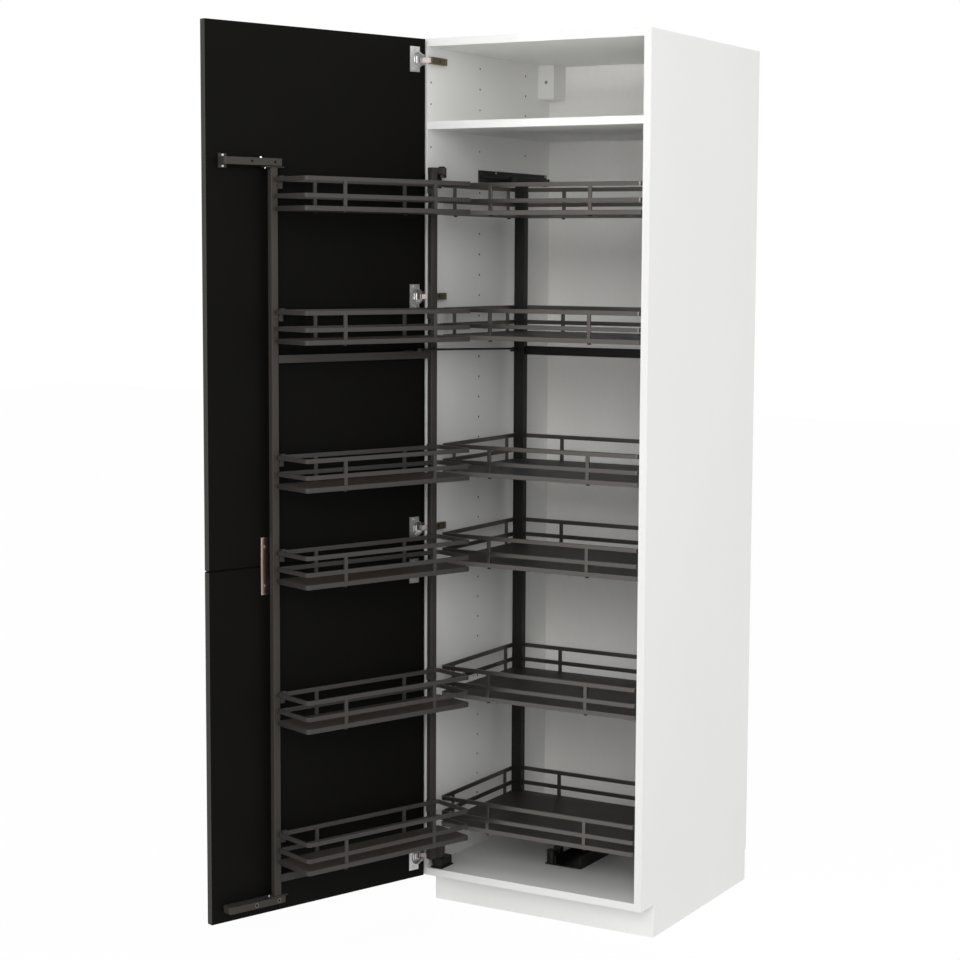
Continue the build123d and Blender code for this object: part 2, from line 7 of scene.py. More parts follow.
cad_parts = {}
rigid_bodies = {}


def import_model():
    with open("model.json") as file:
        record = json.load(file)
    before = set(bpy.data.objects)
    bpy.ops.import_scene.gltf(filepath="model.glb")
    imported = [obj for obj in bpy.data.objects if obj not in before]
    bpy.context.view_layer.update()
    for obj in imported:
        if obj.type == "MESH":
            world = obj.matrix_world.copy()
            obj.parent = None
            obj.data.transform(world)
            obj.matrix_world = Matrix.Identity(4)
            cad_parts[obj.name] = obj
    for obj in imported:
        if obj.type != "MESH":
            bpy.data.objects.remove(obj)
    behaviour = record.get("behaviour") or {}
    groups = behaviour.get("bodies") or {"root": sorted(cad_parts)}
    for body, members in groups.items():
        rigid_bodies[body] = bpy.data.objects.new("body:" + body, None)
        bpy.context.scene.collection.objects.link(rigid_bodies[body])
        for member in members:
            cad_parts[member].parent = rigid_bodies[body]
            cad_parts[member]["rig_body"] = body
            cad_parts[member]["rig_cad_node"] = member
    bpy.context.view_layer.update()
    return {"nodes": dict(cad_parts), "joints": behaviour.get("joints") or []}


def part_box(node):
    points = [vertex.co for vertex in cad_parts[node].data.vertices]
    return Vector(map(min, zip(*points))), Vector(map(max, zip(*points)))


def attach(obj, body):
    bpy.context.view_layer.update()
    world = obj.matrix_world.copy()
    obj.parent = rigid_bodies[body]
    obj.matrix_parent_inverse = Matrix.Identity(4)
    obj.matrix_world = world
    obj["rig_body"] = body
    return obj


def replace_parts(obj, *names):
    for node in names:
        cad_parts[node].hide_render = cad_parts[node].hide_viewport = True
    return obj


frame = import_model()
nodes = frame["nodes"]
mm = 0.001

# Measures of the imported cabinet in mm: heights are from the floor, and a place on the door is given across
# from its hinge edge and out from its inner face
carcass_front = -78
carcass_depth = 600
carcass_base = 80
carcass_height = 2000
side_panel_middle = 291
side_panel_thickness = 18
door_width = 597
seam = 880
hinge_levels = [130, 830, 930, 1480, 2030]
hinge_pin_across = 5.5
hinge_pin_depth = 10
upper_guide = 1778
lower_guide = 114
guide_half_height = 8
guide_face = 27.94
guide_bores = (436, 496)
plate_face = 3
tray_levels = [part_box("inner_tray_%d" % n)[0].z / mm for n in range(1, 7)]

# The door and the swinging rack stand open at rest; places on them turn with them
joints = {joint["name"]: joint for joint in frame["joints"]}
open_angle = math.radians(joints["door_hinge"]["range_deg"][1])
door_axis = Vector(joints["door_hinge"]["pos_m"][:2] + [0])
rack_axis = Vector(joints["rack_swing"]["pos_m"][:2] + [0])
turned = Matrix.Rotation(-open_angle, 4, "Z")
door_place = (Matrix.Translation(door_axis) @ turned
              @ Matrix.Translation((-hinge_pin_across * mm, hinge_pin_depth * mm, 0)))
rack_place = Matrix.Translation(rack_axis) @ turned


def linear(code):
    """Colour written as sRGB hex, in linear light."""
    parts = [int(code[n:n + 2], 16) / 255 for n in (1, 3, 5)]
    return [p / 12.92 if p <= 0.04045 else ((p + 0.055) / 1.055) ** 2.4 for p in parts] + [1.0]


def feed(tree, node, inputs):
    """Sets inputs of a node, each to a value or to the socket that feeds it."""
    for name, value in inputs.items():
        if isinstance(value, bpy.types.NodeSocket):
            tree.links.new(value, node.inputs[name])
        else:
            node.inputs[name].default_value = value


def put(tree, kind, inputs=None, **settings):
    """Adds one node with its settings and its inputs."""
    node = tree.nodes.new(kind)
    for name, value in settings.items():
        setattr(node, name, value)
    feed(tree, node, inputs or {})
    return node


def blank(name):
    """New material with its tree, its shader and its Object coordinates."""
    material = bpy.data.materials.new(name)
    material.use_nodes = True
    tree = material.node_tree
    return material, tree, tree.nodes["Principled BSDF"], put(tree, "ShaderNodeTexCoord").outputs["Object"]


def noise(tree, place, size, detail, distortion=0.0):
    """Pattern of soft spots, of a size in mm."""
    return put(tree, "ShaderNodeTexNoise", {"Vector": place, "Scale": 1 / (size * mm), "Detail": detail,
                                            "Distortion": distortion}).outputs["Fac"]


def tones(tree, pattern, dark, pale, start=0.0, end=1.0):
    """Colour that runs from dark to pale with a pattern."""
    ramp = put(tree, "ShaderNodeValToRGB", {"Fac": pattern})
    for stop, position, code in zip(ramp.color_ramp.elements, (start, end), (dark, pale)):
        stop.position = position
        stop.color = linear(code)
    return ramp.outputs["Color"]


def scaled(tree, value, low, high, start=0.0, end=1.0):
    """Value that runs from low to high while another runs from start to end."""
    return put(tree, "ShaderNodeMapRange", {"Value": value, "From Min": start, "From Max": end,
                                            "To Min": low, "To Max": high}).outputs["Result"]


def relief(tree, pattern, strength, height):
    """Fine relief from a pattern, of a height in mm."""
    return put(tree, "ShaderNodeBump", {"Height": pattern, "Strength": strength,
                                        "Distance": height * mm}).outputs["Normal"]


def mixed(tree, factor, first, second):
    """Colour that goes from the first to the second with a factor."""
    return put(tree, "ShaderNodeMix", {"Factor": factor, "A": first, "B": second},
               data_type="RGBA").outputs["Result"]


def compute(tree, operation, *values):
    """Result of one mathematical operation on values or sockets."""
    return put(tree, "ShaderNodeMath", dict(enumerate(values)), operation=operation).outputs["Value"]


# Melamine paper pressed on chipboard: an even satin white with a fine pebble from the press plate. In the side
# panels' drill holes the chipboard core below the paper is painted near black rather than its own brown:
# painted shade in the holes. The pebble is about 1 mm and is drawn at 3 mm to show.
def make_white_melamine():
    paper_thickness = 0.2
    edging_thickness = 2
    material, tree, shader, place = blank("white_melamine")
    paper = tones(tree, noise(tree, place, 400, 2.0), "#F3F3F1", "#F8F8F6")
    split = put(tree, "ShaderNodeSeparateXYZ", {"Vector": place}).outputs
    in_board = compute(tree, "COMPARE", compute(tree, "ABSOLUTE", split["X"]), side_panel_middle * mm,
                       (side_panel_thickness / 2 - paper_thickness) * mm)
    in_depth = compute(tree, "COMPARE", split["Y"], (carcass_front + carcass_depth / 2) * mm,
                       (carcass_depth / 2 - edging_thickness) * mm)
    in_height = compute(tree, "COMPARE", split["Z"], (carcass_base + carcass_height / 2) * mm,
                        (carcass_height / 2 - edging_thickness) * mm)
    drill_hole_painted_shade = compute(tree, "MULTIPLY", in_board, compute(tree, "MULTIPLY", in_depth, in_height))
    pebble = noise(tree, place, 3, 3.0)
    # The near-black in the drill holes is painted shade, darker than the brown of the chipboard core.
    feed(tree, shader, {"Base Color": mixed(tree, drill_hole_painted_shade, paper, linear("#16120F")),
                        "Roughness": scaled(tree, pebble, 0.4, 0.52),
                        "Normal": relief(tree, pebble, 0.08, 0.3), "IOR": 1.5})
    return material


# Lacquered hardboard: smooth and a little duller than the boards, with faint fibres under the paint.
# The fibres are about 1 mm wide and are drawn at 6 mm to show.
def make_white_hardboard():
    material, tree, shader, place = blank("white_hardboard")
    stretched = put(tree, "ShaderNodeMapping", {"Vector": place, "Scale": (1, 1, 0.25)}).outputs["Vector"]
    fibre = noise(tree, stretched, 6, 4.0)
    feed(tree, shader, {"Base Color": tones(tree, fibre, "#F0EFEC", "#F5F4F1"), "Roughness": 0.55,
                        "Normal": relief(tree, fibre, 0.06, 0.3), "IOR": 1.5})
    return material


# Moulded polypropylene: white and satin. Its fine spark texture is about 0.3 mm and is drawn at 1.5 mm
# to show.
def make_white_plastic():
    material, tree, shader, place = blank("white_polypropylene")
    spark = noise(tree, place, 1.5, 2.0)
    feed(tree, shader, {"Base Color": tones(tree, spark, "#EEEEEA", "#F4F4F0"), "Roughness": 0.42,
                        "Normal": relief(tree, spark, 0.1, 0.2), "IOR": 1.49})
    return material


# Black melamine foil: nearly black and matt. The free edge of the door is painted a paler grey, a painted
# highlight where the light falls on that edge. The foil's grain is about 0.5 mm and is drawn at 2 mm to show.
def make_black_melamine():
    painted_highlight_start = door_width - 0.8
    painted_highlight_end = door_width - 0.4
    material, tree, shader, place = blank("black_melamine")
    along = put(tree, "ShaderNodeMapping", {"Vector": place, "Rotation": (0, 0, -open_angle),
                                            "Location": door_place.to_translation()}, vector_type="TEXTURE")
    split = put(tree, "ShaderNodeSeparateXYZ", {"Vector": along.outputs["Vector"]}).outputs
    edging = scaled(tree, split["X"], 0.0, 1.0, painted_highlight_start * mm, painted_highlight_end * mm)
    face = tones(tree, noise(tree, place, 300, 3.0), "#0B0A09", "#0F0E0D")
    grain = noise(tree, place, 2, 3.0)
    # The paler grey on the free edge is a painted highlight, not an edging of another colour.
    feed(tree, shader, {"Base Color": mixed(tree, edging, face, linear("#464543")),
                        "Roughness": scaled(tree, grain, 0.55, 0.68),
                        "Normal": relief(tree, grain, 0.1, 0.2), "IOR": 1.45, "Specular IOR Level": 0.07})
    return material


# ABS edging on the top and bottom of the doors: black and quite matt, so that the seam stays a dark line.
# Its scraped lines are about 0.3 mm apart and are drawn at 1.5 mm to show.
def make_black_edging():
    material, tree, shader, place = blank("black_abs_edging")
    scraped = noise(tree, place, 1.5, 2.0)
    feed(tree, shader, {"Base Color": tones(tree, scraped, "#0B0A09", "#12110F"), "Roughness": 0.9,
                        "Specular IOR Level": 0.0})
    return material


# Powder-coated steel: a satin coat with the fine sand of a baked powder. The inner rails get a paler, metallic
# copy of the door rails' anthracite coat: painted light, so that they show lit inside the cabinet. The sand is
# about 0.3 mm and is drawn at 1.2 mm to show.
def make_coated_steel(name, dark, pale, metal, gleam, smoothest, roughest):
    material, tree, shader, place = blank(name)
    sand = noise(tree, place, 1.2, 2.0)
    feed(tree, shader, {"Base Color": tones(tree, sand, dark, pale),
                        "Roughness": scaled(tree, sand, smoothest, roughest),
                        "Normal": relief(tree, sand, 0.15, 0.15), "Metallic": metal,
                        "Specular IOR Level": gleam})
    return material


# Dark melamine board of the trays: a faint ash grain along the tray, and an edge like the rails. The board on
# the inner rack is a darker copy, painted shade inside the cabinet, and its edge is paler, painted light like
# the inner rails.
# The grain lines are about 2 mm apart and are drawn at 4 mm to show.
def make_tray_board(name, turn, dark, pale, edge):
    material, tree, shader, place = blank(name)
    along = put(tree, "ShaderNodeMapping", {"Vector": place, "Rotation": (0, 0, turn), "Scale": (25, 1, 1)},
                vector_type="TEXTURE").outputs["Vector"]
    grain = noise(tree, along, 4, 4.0, distortion=0.4)
    top = tones(tree, grain, dark, pale, 0.3, 0.7)
    normal = put(tree, "ShaderNodeNewGeometry").outputs["Normal"]
    upright = put(tree, "ShaderNodeSeparateXYZ", {"Vector": normal}).outputs["Z"]
    flat = scaled(tree, compute(tree, "ABSOLUTE", upright), 0.0, 1.0, 0.3, 0.6)
    feed(tree, shader, {"Base Color": mixed(tree, flat, linear(edge), top),
                        "Roughness": scaled(tree, grain, 0.42, 0.58),
                        "Normal": relief(tree, grain, 0.12, 0.2), "IOR": 1.5})
    return material


# Zinc-plated steel: pale and satin, slightly blotched by the plating bath. The blotches are about 8 mm.
def make_zinc_plated_steel():
    material, tree, shader, place = blank("zinc_plated_steel")
    blotch = noise(tree, place, 8, 3.0)
    feed(tree, shader, {"Base Color": tones(tree, blotch, "#B4B4B4", "#CFCFCE"),
                        "Roughness": scaled(tree, blotch, 0.28, 0.42), "Metallic": 1.0})
    return material


# Hinge arm: an olive passivated cover on the panel, with blotches of about 5 mm, and a bright plated link in
# front of the panel edge.
def make_hinge_arm_steel():
    material, tree, shader, place = blank("olive_passivated_steel")
    split = put(tree, "ShaderNodeSeparateXYZ", {"Vector": place}).outputs
    behind = scaled(tree, split["Y"], 0.0, 1.0, (carcass_front - 0.5) * mm, (carcass_front + 0.5) * mm)
    cover = tones(tree, noise(tree, place, 5, 3.0), "#746D55", "#877F66")
    feed(tree, shader, {"Base Color": mixed(tree, behind, linear("#938B88"), cover), "Metallic": 1.0,
                        "Roughness": 0.42})
    return material


# Bronze-plated steel of the joining plate: brushed along its length. The lines are about 0.2 mm and are drawn
# at 0.8 mm to show.
def make_bronze_plated_steel():
    material, tree, shader, place = blank("bronze_plated_steel")
    brushed = put(tree, "ShaderNodeMapping", {"Vector": place, "Scale": (1, 1, 0.02)}).outputs["Vector"]
    line = noise(tree, brushed, 0.8, 2.0)
    feed(tree, shader, {"Base Color": tones(tree, line, "#8C7B72", "#AB9A91"),
                        "Roughness": scaled(tree, line, 0.26, 0.42), "Metallic": 1.0})
    return material


# Moulded nylon of the fittings: black and satin. Its fine spark texture is about 0.3 mm and is drawn at 1.2 mm
# to show.
def make_black_plastic():
    material, tree, shader, place = blank("black_nylon")
    spark = noise(tree, place, 1.2, 2.0)
    feed(tree, shader, {"Base Color": tones(tree, spark, "#0B0B0A", "#121211"), "Roughness": 0.45,
                        "Normal": relief(tree, spark, 0.2, 0.15), "IOR": 1.5, "Specular IOR Level": 0.3})
    return material


white_melamine = make_white_melamine()
white_hardboard = make_white_hardboard()
white_plastic = make_white_plastic()
black_melamine = make_black_melamine()
black_edging = make_black_edging()
# The inner rails' coat is a paler copy of the door rails' coat: painted light on the rails inside the cabinet.
inner_rail_steel_painted_light = make_coated_steel("anthracite_coated_inner_rail_steel", "#5E5A57", "#6A6663",
                                     metal=0.9, gleam=0.5, smoothest=0.26, roughest=0.36)
door_rail_steel = make_coated_steel("anthracite_coated_door_rail_steel", "#3A3734", "#444140",
                                    metal=0.0, gleam=0.2, smoothest=0.26, roughest=0.36)
post_steel = make_coated_steel("anthracite_coated_post_steel", "#383532", "#423F3C",
                               metal=0.0, gleam=0.12, smoothest=0.26, roughest=0.38)
black_steel = make_coated_steel("black_coated_steel", "#100F0E", "#181715",
                                metal=0.2, gleam=0.4, smoothest=0.36, roughest=0.5)
door_tray_board = make_tray_board("tray_board_on_door_rack", -open_angle, "#3A3430", "#48413C", "#2E2B29")
# The inner tray board is a darker copy of the door one, painted shade, with a paler edge that is painted light.
inner_tray_board_painted_shade_and_light = make_tray_board("tray_board_on_inner_rack_painted_shade_and_light", 0, "#1F1B18", "#2C2724", "#595552")
zinc_steel = make_zinc_plated_steel()
hinge_arm_steel = make_hinge_arm_steel()
bronze_steel = make_bronze_plated_steel()
black_plastic = make_black_plastic()


# Tolerances of the shaping: two lengths in mm, and the angles above which an edge is a real one, is rounded
# and shades as a hard one
merge_distance = 0.005
touch = 0.01
real_edge = math.radians(0.5)
rounded_edge = math.radians(40)
hard_shading = math.radians(35)


def deselect():
    bpy.ops.object.select_all(action="DESELECT")


def select_only(piece):
    """Makes one piece the one that the operators work on."""
    deselect()
    piece.select_set(True)
    bpy.context.view_layer.objects.active = piece


def open_mesh():
    bpy.ops.object.mode_set(mode="EDIT")


def close_mesh():
    bpy.ops.object.mode_set(mode="OBJECT")


def apply(piece, kind, **settings):
    """Adds a modifier with its settings to the active piece, and applies it."""
    bpy.ops.object.modifier_add(type=kind)
    modifier = piece.modifiers[-1]
    for name, value in settings.items():
        setattr(modifier, name, value)
    bpy.ops.object.modifier_apply(modifier=modifier.name)


def coat(piece, material):
    piece.data.materials.clear()
    piece.data.materials.append(material)


def smooth(piece):
    """Smooth shading that keeps flat faces flat."""
    select_only(piece)
    bpy.ops.object.shade_smooth_by_angle(angle=hard_shading)
    apply(piece, "WEIGHTED_NORMAL", keep_sharp=True)


def settle(piece, name, material, body):
    """Names a finished piece, shades it, and gives it its material and the body that it moves with."""
    piece.name = name
    smooth(piece)
    coat(piece, material)
    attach(piece, body)


def copy_node(name):
    """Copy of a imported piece, merged and cleared of needless edges, for shaping; it is left in edit mode."""
    select_only(nodes[name])
    bpy.ops.object.duplicate()
    piece = bpy.context.object
    del piece["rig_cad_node"]
    bpy.ops.mesh.customdata_custom_splitnormals_clear()
    open_mesh()
    bpy.ops.mesh.select_all(action="SELECT")
    bpy.ops.mesh.remove_doubles(threshold=merge_distance * mm)
    bpy.ops.mesh.dissolve_limited(angle_limit=real_edge)
    return piece


def ease(name, width, material):
    """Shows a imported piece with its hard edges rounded, as a press, a saw or a powder coat leaves them."""
    piece = copy_node(name)
    close_mesh()
    apply(piece, "BEVEL", width=width * mm, segments=2, limit_method="ANGLE", angle_limit=rounded_edge)
    settle(piece, name + "_finished", material, nodes[name]["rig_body"])
    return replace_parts(piece, name)


def begin(add, **sizes):
    """Adds a primitive with all else deselected, and opens it for shaping."""
    deselect()
    add(**sizes)
    open_mesh()
    return bpy.context.object


def pick(kind, test):
    """Selects the faces or edges of the open mesh whose middle, in mm, and direction pass a test."""
    bpy.ops.mesh.select_mode(type=kind)
    bpy.ops.mesh.select_all(action="DESELECT")
    data = bpy.context.object.data
    mesh = bmesh.from_edit_mesh(data)
    if kind == "FACE":
        found = [face for face in mesh.faces if test(face.calc_center_median() / mm, face.normal)]
    else:
        found = []
        for edge in mesh.edges:
            start, end = (corner.co for corner in edge.verts)
            if test((start + end) / (2 * mm), (end - start).normalized()):
                found.append(edge)
    for part in found:
        part.select_set(True)
    bmesh.update_edit_mesh(data)


def pick_rim(height):
    """Selects the edges of the open mesh that lie at a height."""
    pick("EDGE", lambda middle, way: middle.z > height - touch)


def pick_ends():
    """Selects the two end faces of the open mesh."""
    pick("FACE", lambda middle, way: abs(way.z) > 0.5)


def round_edges(width, segments, **settings):
    """Rounds the selected edges of the open mesh."""
    bpy.ops.mesh.bevel(offset=width * mm, segments=segments, affect="EDGES", **settings)


def inset(width):
    bpy.ops.mesh.inset(thickness=width * mm)


def draw_up(height):
    """Draws the selected faces of the open mesh up."""
    bpy.ops.mesh.extrude_region_move(TRANSFORM_OT_translate={"value": (0, 0, height * mm)})


def repeat(pattern, places):
    """Copies a pattern to its places as one piece, with its place in its mesh, and removes the pattern."""
    made = []
    for place in places:
        select_only(pattern)
        bpy.ops.object.duplicate()
        bpy.context.object.matrix_world = place
        made.append(bpy.context.object)
    deselect()
    for piece in made:
        piece.select_set(True)
    bpy.context.view_layer.objects.active = made[0]
    bpy.ops.object.transform_apply(location=True, rotation=True, scale=True)
    if len(made) > 1:
        bpy.ops.object.join()
    bpy.data.objects.remove(pattern)
    return bpy.context.object


def cut(piece, cutter):
    """Takes a shape out of a piece, and removes the shape."""
    select_only(piece)
    apply(piece, "BOOLEAN", operation="DIFFERENCE", solver="EXACT", object=cutter)
    bpy.data.objects.remove(cutter)


def make_cross(reach, width, depth):
    """Cutter for the cross recess of a screw head, its mouth on its own origin."""
    cross = begin(bpy.ops.mesh.primitive_cube_add, size=width * mm)
    bpy.ops.transform.resize(value=(1, 1, 2 * depth / width))
    pick("FACE", lambda middle, way: abs(way.z) < 0.5)
    bpy.ops.mesh.extrude_faces_move(TRANSFORM_OT_shrink_fatten={"value": (reach - width / 2) * mm})
    close_mesh()
    return cross


def make_head(sides, radius, height, rounding, segments):
    """Round or six-sided head with a rounded rim, its seat on its own origin; it is left in edit mode."""
    head = begin(bpy.ops.mesh.primitive_cylinder_add, vertices=sides, radius=radius * mm, depth=height * mm)
    bpy.ops.mesh.select_all(action="SELECT")
    bpy.ops.transform.translate(value=(0, 0, height / 2 * mm))
    pick_rim(height)
    round_edges(rounding, segments)
    return head


def make_screw(radius, height):
    """Pan-head screw with a cross recess, its seat on its own origin."""
    screw = make_head(24, radius, height, rounding=0.55 * height, segments=3)
    close_mesh()
    cross = make_cross(reach=0.6 * radius, width=0.3 * radius, depth=0.7 * height)
    cut(screw, repeat(cross, [at(0, 0, height)]))
    return screw


def make_bolt(radius, height):
    """Hexagon nut with the end of its bolt standing out, its seat on its own origin."""
    bolt = make_head(6, radius, height, rounding=0.4, segments=2)
    pick("FACE", lambda middle, way: way.z > 0.99)
    inset(0.35 * radius)
    draw_up(1.2)
    round_edges(0.3, 2)
    close_mesh()
    return bolt


def make_pad(radius, height):
    """Round pad with its free rim rounded, its seat on its own origin."""
    pad = make_head(20, radius, height, rounding=0.8, segments=2)
    close_mesh()
    return pad


def make_ring(outer, inner, height):
    """Turned ring with its upper outside edge rounded, centred on its own origin."""
    ring = begin(bpy.ops.mesh.primitive_cylinder_add, vertices=48, radius=outer * mm, depth=height * mm)
    pick_ends()
    inset(outer - inner)
    bpy.ops.mesh.bridge_edge_loops()
    pick("EDGE", lambda middle, way: middle.z > 0.45 * height and middle.xy.length > 0.99 * outer)
    round_edges(0.3 * height, 2)
    close_mesh()
    return ring


def at(x, y, z):
    """Place in mm."""
    return Matrix.Translation((x * mm, y * mm, z * mm))


def on_door(x, y, z):
    """Place on the door with the pattern left upright."""
    return door_place @ at(x, y, z)


def at_door(x, y, z):
    """Place on the door; the pattern's axis turns away from its inner face."""
    return on_door(x, y, z) @ Matrix.Rotation(-math.pi / 2, 4, "X")


def on_rack(x, y, z):
    """Place on the swinging rack, from its pivot, with the pattern left upright."""
    return rack_place @ at(x, y, z)


def at_rack(x, y, z):
    """Place on the swinging rack, from its pivot; the pattern's axis turns away from the door."""
    return on_rack(x, y, z) @ Matrix.Rotation(-math.pi / 2, 4, "X")


def on_left_panel(x, y, z):
    """Place on the left panel; the pattern's axis turns into the cabinet."""
    return at(x, y, z) @ Matrix.Rotation(math.pi / 2, 4, "Y")


def under(x, y, z):
    """Place below a level; the pattern's axis turns down."""
    return at(x, y, z) @ Matrix.Rotation(math.pi, 4, "X")


def cut_crosses(piece, places):
    """Cuts a cross recess into a piece at each place, and shades it again."""
    cut(piece, repeat(make_cross(reach=2.4, width=1.2, depth=1.0), places))
    smooth(piece)


def make_hinges():
    """Hinge cups and arms with the recesses of their screws."""
    cup_screw_across, cup_screw_face, cup_screw_rise = 32, 3.5, 23
    cups = ease("hinge_cups", 0.4, zinc_steel)
    cut_crosses(cups, [at_door(cup_screw_across, cup_screw_face, level + side) for level in hinge_levels
                       for side in (-cup_screw_rise, cup_screw_rise)])
    arm_face, arm_screw = -267.5, -28
    arms = ease("hinge_arms", 0.8, hinge_arm_steel)
    cut_crosses(arms, [on_left_panel(arm_face, arm_screw, level) for level in hinge_levels])


def make_hinge_rims():
    """Turned rim round each hinge cup, open on the side of the link."""
    cup_across, notch_size, notch_middle = 22.5, 13.2, -19.6
    ring = make_ring(outer=18.6, inner=15.7, height=1.6)
    notch = begin(bpy.ops.mesh.primitive_cube_add, size=notch_size * mm)
    bpy.ops.transform.translate(value=(notch_middle * mm, 0, 0))
    close_mesh()
    cut(ring, notch)
    rims = repeat(ring, [at_door(cup_across, 0, level) for level in hinge_levels])
    settle(rims, "hinge_cup_rims", zinc_steel, "door")


def make_hinge_barrels():
    """Two pins in each hinge cup, with their ends turned down."""
    barrels_across, barrel_depth = (21.5, 28.5), -5
    barrel = begin(bpy.ops.mesh.primitive_cylinder_add, vertices=20, radius=2.8 * mm, depth=15 * mm)
    pick_ends()
    inset(1.0)
    bpy.ops.mesh.extrude_region_shrink_fatten(TRANSFORM_OT_shrink_fatten={"value": 0.5 * mm})
    close_mesh()
    barrels = repeat(barrel, [on_door(x, barrel_depth, level) for level in hinge_levels
                              for x in barrels_across])
    settle(barrels, "hinge_barrels", zinc_steel, "door")


def make_hinge_straps():
    """Strap across the pins in each hinge cup."""
    strap_across, strap_depth = 27.3, -6.2
    strap = begin(bpy.ops.mesh.primitive_cube_add, size=13 * mm)
    bpy.ops.transform.resize(value=(1.4, 0.2, 0.85))
    pick("EDGE", lambda middle, way: abs(way.z) > 0.9)
    round_edges(1.0, 3)
    close_mesh()
    straps = repeat(strap, [on_door(strap_across, strap_depth, level) for level in hinge_levels])
    settle(straps, "hinge_straps", zinc_steel, "door")


def make_hinge_adjusters():
    """Long dark head of the adjusting screw on each hinge arm."""
    head_middle, head_behind, head_height = -268.9, -44, 0.8
    adjuster = begin(bpy.ops.mesh.primitive_cylinder_add, vertices=20, radius=1.9 * mm, depth=head_height * mm)
    bpy.ops.transform.resize(value=(2.1, 1, 1))
    pick_rim(head_height / 2)
    round_edges(0.3, 2)
    close_mesh()
    adjusters = repeat(adjuster, [on_left_panel(head_middle, head_behind, level) for level in hinge_levels])
    settle(adjusters, "hinge_adjusting_screws", black_plastic, "carcass")


def make_door_screws():
    """Screws of the joining plate and upper guide, eyelets of the lower guide, and a bolt in each guide."""
    plate_middle, plate_screw_rise = 452.5, 44
    plate_screws = repeat(make_screw(radius=4, height=1.8),
                          [at_door(plate_middle, plate_face, seam + side)
                           for side in (-plate_screw_rise, plate_screw_rise)])
    settle(plate_screws, "joining_plate_screws", bronze_steel, "door")
    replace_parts(plate_screws, "door_screws")
    guide_screws_across, guide_screw_rise = 556, 11.75
    guide_screws = repeat(make_screw(radius=3, height=1.5),
                          [at_door(guide_screws_across, plate_face, upper_guide + side)
                           for side in (-guide_screw_rise, guide_screw_rise)])
    settle(guide_screws, "upper_guide_screws", zinc_steel, "door")
    eyelet_middle = guide_face + 0.26
    eyelets = repeat(make_ring(outer=5.4, inner=3.0, height=0.9),
                     [at_door(x, eyelet_middle, lower_guide) for x in guide_bores])
    settle(eyelets, "lower_guide_eyelets", inner_rail_steel_painted_light, "door")
    bolt_across, guide_middle = 465, guide_face / 2
    bolts = repeat(make_bolt(radius=3.6, height=3),
                   [on_door(bolt_across, guide_middle, upper_guide + guide_half_height),
                    door_place @ under(bolt_across, guide_middle, lower_guide - guide_half_height)])
    settle(bolts, "guide_bolts", zinc_steel, "door")


def make_door(name):
    """Shows a door panel with its foil, and with edging on its top and bottom that narrows the seam."""
    edging = 0.9
    piece = copy_node(name)
    pick("FACE", lambda middle, way: abs(way.z) > 0.99 and abs(middle.z - seam) < 5)
    draw_up(edging if name == "lower_door" else -edging)
    close_mesh()
    settle(piece, name + "_finished", black_melamine, "door")
    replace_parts(piece, name)
    piece.data.materials.append(black_edging)
    open_mesh()
    pick("FACE", lambda middle, way: abs(way.z) > 0.4)
    piece.active_material_index = 1
    bpy.ops.object.material_slot_assign()
    close_mesh()


def make_joining_plate():
    """Plate across the door seam, with its free edges chamfered all round."""
    piece = copy_node("door_joining_plate")
    outwards = turned.to_3x3() @ Vector((0, 1, 0))
    face = (door_place @ Vector((0, plate_face * mm, 0))).dot(outwards) / mm
    pick("EDGE", lambda middle, way: middle.dot(outwards) > face - touch)
    round_edges(1.5, 1)
    close_mesh()
    settle(piece, "door_joining_plate_finished", bronze_steel, "door")
    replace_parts(piece, "door_joining_plate")


def make_guide_ribs():
    """Moulded ribs across the groove of the lower door guide."""
    first_rib, groove_middle, rib_middle = 438.5, 21.14, 116.2
    rib_pitch, rib_count = 9, 13
    rib = begin(bpy.ops.mesh.primitive_cube_add, size=1.6 * mm)
    bpy.ops.transform.resize(value=(1, 5.8, 5.3))
    pick("EDGE", lambda middle, way: middle.z > 4 and abs(way.y) > 0.9)
    round_edges(0.4, 2)
    close_mesh()
    apply(rib, "ARRAY", use_relative_offset=False, use_constant_offset=True,
          constant_offset_displace=(rib_pitch * mm, 0, 0), count=rib_count)
    ribs = repeat(rib, [on_door(first_rib, groove_middle, rib_middle)])
    settle(ribs, "lower_guide_ribs", black_plastic, "door")


def round_post(name, x):
    """Shows a rack post as the drawn tube it is, with rounded outer corners."""
    post_middle, inner_corner = 8, 11
    piece = copy_node(name)
    axis = (rack_place @ Vector((x * mm, post_middle * mm, 0))).xy / mm
    pick("EDGE", lambda middle, way: abs(way.z) > 0.99 and (middle.xy - axis).length > inner_corner)
    round_edges(2.5, 4, clamp_overlap=False)
    close_mesh()
    settle(piece, name + "_finished", post_steel, "swinging_rack")
    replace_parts(piece, name)


def make_tray_feet():
    """Round pads under the trays, below the uprights of the baskets."""
    door_spots = [(x, y) for x in (123.53, 373.53) for y in (21, 132)]
    door_feet = repeat(make_pad(radius=4.5, height=3),
                       [rack_place @ under(x, y, level) for level in tray_levels for x, y in door_spots])
    settle(door_feet, "door_tray_feet", black_plastic, "swinging_rack")
    front_and_rear = [(x, y) for x in (-126, 136) for y in (-48, 305)]
    left_and_right = [(x, y) for x in (-253, 263) for y in (2, 255)]
    inner_feet = repeat(make_pad(radius=4.5, height=3),
                        [under(x, y, level) for level in tray_levels
                         for x, y in front_and_rear + left_and_right])
    settle(inner_feet, "inner_tray_feet", black_plastic, "inner_rack")


